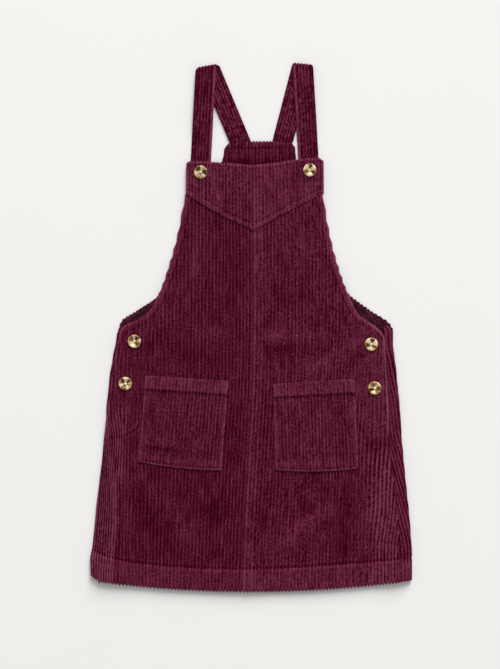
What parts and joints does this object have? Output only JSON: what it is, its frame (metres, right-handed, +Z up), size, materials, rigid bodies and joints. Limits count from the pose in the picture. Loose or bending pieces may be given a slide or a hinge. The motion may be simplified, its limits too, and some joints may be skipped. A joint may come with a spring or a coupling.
{
  "type": "pinafore dress",
  "caption": "Child's wide-wale corduroy pinafore dress laid flat, with a pointed bib yoke, patch pockets, button plackets at the sides and folded-down straps.",
  "frame": {"origin": "centre of the laid-out dress's outline, on the surface it lies on", "axes": "+X across the dress to the right as it is looked at from above, +Y up the dress towards the straps, +Z up from the surface"},
  "size_m": [0.3848, 0.6353, 0.0109],
  "materials": {
    "corduroy": "burgundy wide-wale cotton corduroy with a soft nap",
    "corduroy_inside": "burgundy corduroy facing",
    "button_horn": "mottled horn-look resin in cream and brown"
  },
  "bodies": {
    "root": {"back": "corduroy", "back_facing": "corduroy_inside", "front_left": "corduroy", "front_right": "corduroy", "front_yoke_left": "corduroy", "front_yoke_right": "corduroy", "pocket_left": "corduroy", "pocket_right": "corduroy", "button_stand_left": "corduroy", "button_stand_right": "corduroy", "strap_left": "corduroy", "strap_right": "corduroy", "button_bib_left": "button_horn", "button_bib_right": "button_horn", "button_side_left_upper": "button_horn", "button_side_left_lower": "button_horn", "button_side_right_upper": "button_horn", "button_side_right_lower": "button_horn"}
  },
  "joints": []
}
